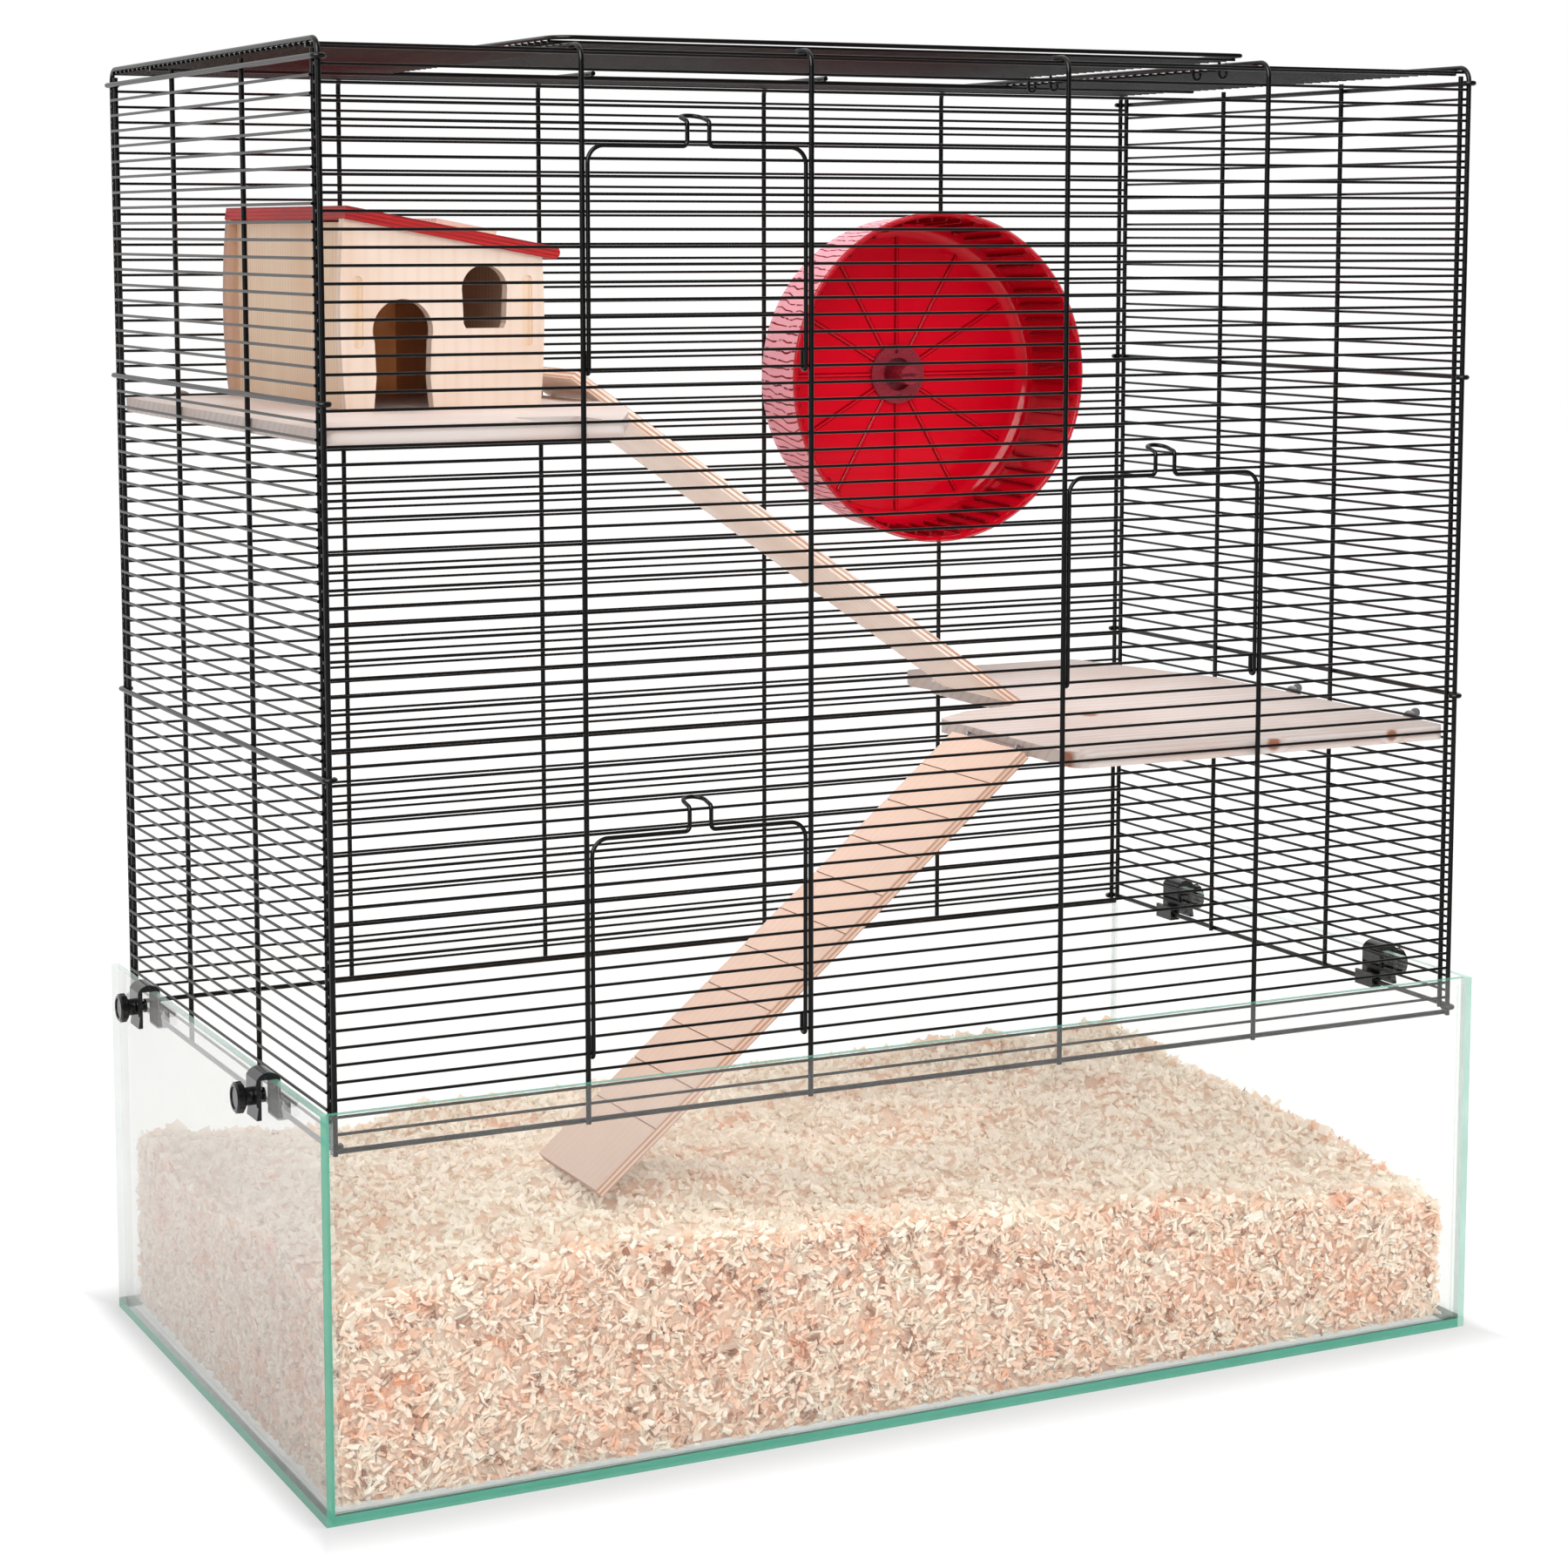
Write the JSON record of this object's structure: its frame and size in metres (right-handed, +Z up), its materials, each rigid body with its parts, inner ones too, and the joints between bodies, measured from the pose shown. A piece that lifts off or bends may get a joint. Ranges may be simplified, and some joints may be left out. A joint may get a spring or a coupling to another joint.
{
  "type": "hamster cage",
  "caption": "Tall hamster cage: glass tank with clamped wire top, hinged doors in front and roof, shelves, ramps, wheel and wooden house.",
  "frame": {"origin": "centre of the tank's underside, on the surface that the cage stands on", "axes": "+Z up, -Y towards the doors in front, +X to the right of someone facing the doors"},
  "size_m": [0.8396, 0.444, 0.8453],
  "materials": {
    "glass": "clear soda-lime glass with green cut edges",
    "silicone": "clear silicone sealant, satin",
    "shavings": "curled softwood shavings, dry and pale",
    "clamp_plastic": "black moulded plastic, fine grain",
    "wire": "black powder-coated steel wire, satin",
    "shelf_wood": "planed pale plywood, unsealed",
    "ramp_wood": "thin birch plywood, unsealed",
    "fittings": "zinc-plated steel",
    "wheel_plastic": "translucent red moulded plastic, glossy",
    "house_wood": "pale birch plywood, unsealed",
    "house_roof_paint": "red-stained plywood, satin"
  },
  "bodies": {
    "tank": {"glass_floor": "glass", "glass_front": "glass", "glass_back": "glass", "glass_left": "glass", "glass_right": "glass", "silicone_seams": "silicone", "bedding": "shavings", "clamp_clip_1": "clamp_plastic", "clamp_clip_2": "clamp_plastic", "clamp_clip_3": "clamp_plastic", "clamp_clip_4": "clamp_plastic"},
    "wire_top": {"mat_uprights": "wire", "mat_bends": "wire", "mat_roof_wires": "wire", "front_rows": "wire", "back_rows": "wire", "roof_rows": "wire", "base_rails": "wire", "end_uprights": "wire", "left_rows": "wire", "right_rows": "wire", "end_ties": "wire", "upper_shelf": "shelf_wood", "lower_shelf": "shelf_wood", "shelf_bolts": "fittings", "ramp_eyes": "fittings", "wheel_axle": "wheel_plastic"},
    "roof_door": {"roof_door_frame": "wire", "roof_door_rows": "wire", "roof_door_hooks": "wire"},
    "wheel": {"wheel_drum": "wheel_plastic", "wheel_slats": "wheel_plastic", "wheel_hub": "wheel_plastic"},
    "upper_ramp": {"upper_ramp": "ramp_wood", "upper_bail": "fittings"},
    "lower_ramp": {"lower_ramp": "ramp_wood", "lower_bail": "fittings"},
    "house": {"house_front": "house_wood", "house_back": "house_wood", "house_sides": "house_wood", "house_roof": "house_roof_paint", "house_cleat": "house_wood"},
    "door_a": {"door_frame_a": "wire", "door_bars_a": "wire"},
    "door_b": {"door_frame_b": "wire", "door_bars_b": "wire"},
    "door_c": {"door_frame_c": "wire", "door_bars_c": "wire"},
    "screw_1": {"clamp_screw_1": "clamp_plastic"},
    "knob_1": {"clamp_knob_1": "clamp_plastic"},
    "screw_2": {"clamp_screw_2": "clamp_plastic"},
    "knob_2": {"clamp_knob_2": "clamp_plastic"},
    "screw_3": {"clamp_screw_3": "clamp_plastic"},
    "knob_3": {"clamp_knob_3": "clamp_plastic"},
    "screw_4": {"clamp_screw_4": "clamp_plastic"},
    "knob_4": {"clamp_knob_4": "clamp_plastic"}
  },
  "joints": [
    {"name": "top_lift", "type": "slide", "parent": "tank", "child": "wire_top", "axis": [0, 0, 1], "range_m": [0, 0.25]},
    {"name": "door_a_hinge", "type": "hinge", "parent": "wire_top", "child": "door_a", "pos_m": [-0.16046, -0.20933, 0.655], "axis": [1, 0, 0], "range_deg": [0, 150]},
    {"name": "door_b_hinge", "type": "hinge", "parent": "wire_top", "child": "door_b", "pos_m": [-0.16046, -0.20933, 0.255], "axis": [1, 0, 0], "range_deg": [0, 125]},
    {"name": "door_c_hinge", "type": "hinge", "parent": "wire_top", "child": "door_c", "pos_m": [0.16046, -0.20933, 0.455], "axis": [1, 0, 0], "range_deg": [0, 150]},
    {"name": "roof_door_hinge", "type": "hinge", "parent": "wire_top", "child": "roof_door", "pos_m": [0.2334, -0.04, 0.839], "axis": [0, 1, 0], "range_deg": [0, 110]},
    {"name": "wheel_spin", "type": "hinge", "parent": "wire_top", "child": "wheel", "pos_m": [0.183, 0.1533, 0.63], "axis": [0, 1, 0], "continuous": true},
    {"name": "upper_ramp_hinge", "type": "hinge", "parent": "wire_top", "child": "upper_ramp", "pos_m": [-0.12522, 0.064, 0.62202], "axis": [0, -1, 0], "range_deg": [0, 30]},
    {"name": "lower_ramp_hinge", "type": "hinge", "parent": "wire_top", "child": "lower_ramp", "pos_m": [0.097, -0.109, 0.404], "axis": [0, 1, 0], "range_deg": [0, 45]},
    {"name": "house_lift", "type": "slide", "parent": "wire_top", "child": "house", "axis": [0, 0, 1], "range_m": [0, 0.06]},
    {"name": "screw_1_slide", "type": "slide", "parent": "tank", "child": "screw_1", "axis": [-1, 0, 0], "range_m": [0, 0.0028]},
    {"name": "knob_1_turn", "type": "hinge", "parent": "screw_1", "child": "knob_1", "pos_m": [-0.415, 0.136, 0.229], "axis": [-1, 0, 0], "range_deg": [0, 810]},
    {"name": "screw_2_slide", "type": "slide", "parent": "tank", "child": "screw_2", "axis": [-1, 0, 0], "range_m": [0, 0.0028]},
    {"name": "knob_2_turn", "type": "hinge", "parent": "screw_2", "child": "knob_2", "pos_m": [-0.415, -0.119, 0.229], "axis": [-1, 0, 0], "range_deg": [0, 810]},
    {"name": "screw_3_slide", "type": "slide", "parent": "tank", "child": "screw_3", "axis": [1, 0, 0], "range_m": [0, 0.0028]},
    {"name": "knob_3_turn", "type": "hinge", "parent": "screw_3", "child": "knob_3", "pos_m": [0.415, 0.136, 0.229], "axis": [1, 0, 0], "range_deg": [0, 810]},
    {"name": "screw_4_slide", "type": "slide", "parent": "tank", "child": "screw_4", "axis": [1, 0, 0], "range_m": [0, 0.0028]},
    {"name": "knob_4_turn", "type": "hinge", "parent": "screw_4", "child": "knob_4", "pos_m": [0.415, -0.119, 0.229], "axis": [1, 0, 0], "range_deg": [0, 810]}
  ],
  "couplings": [
    {"joint": "knob_1_turn", "follows": "screw_1_slide", "rad_per_m": 5026.5},
    {"joint": "knob_2_turn", "follows": "screw_2_slide", "rad_per_m": 5026.5},
    {"joint": "knob_3_turn", "follows": "screw_3_slide", "rad_per_m": 5026.5},
    {"joint": "knob_4_turn", "follows": "screw_4_slide", "rad_per_m": 5026.5}
  ]
}
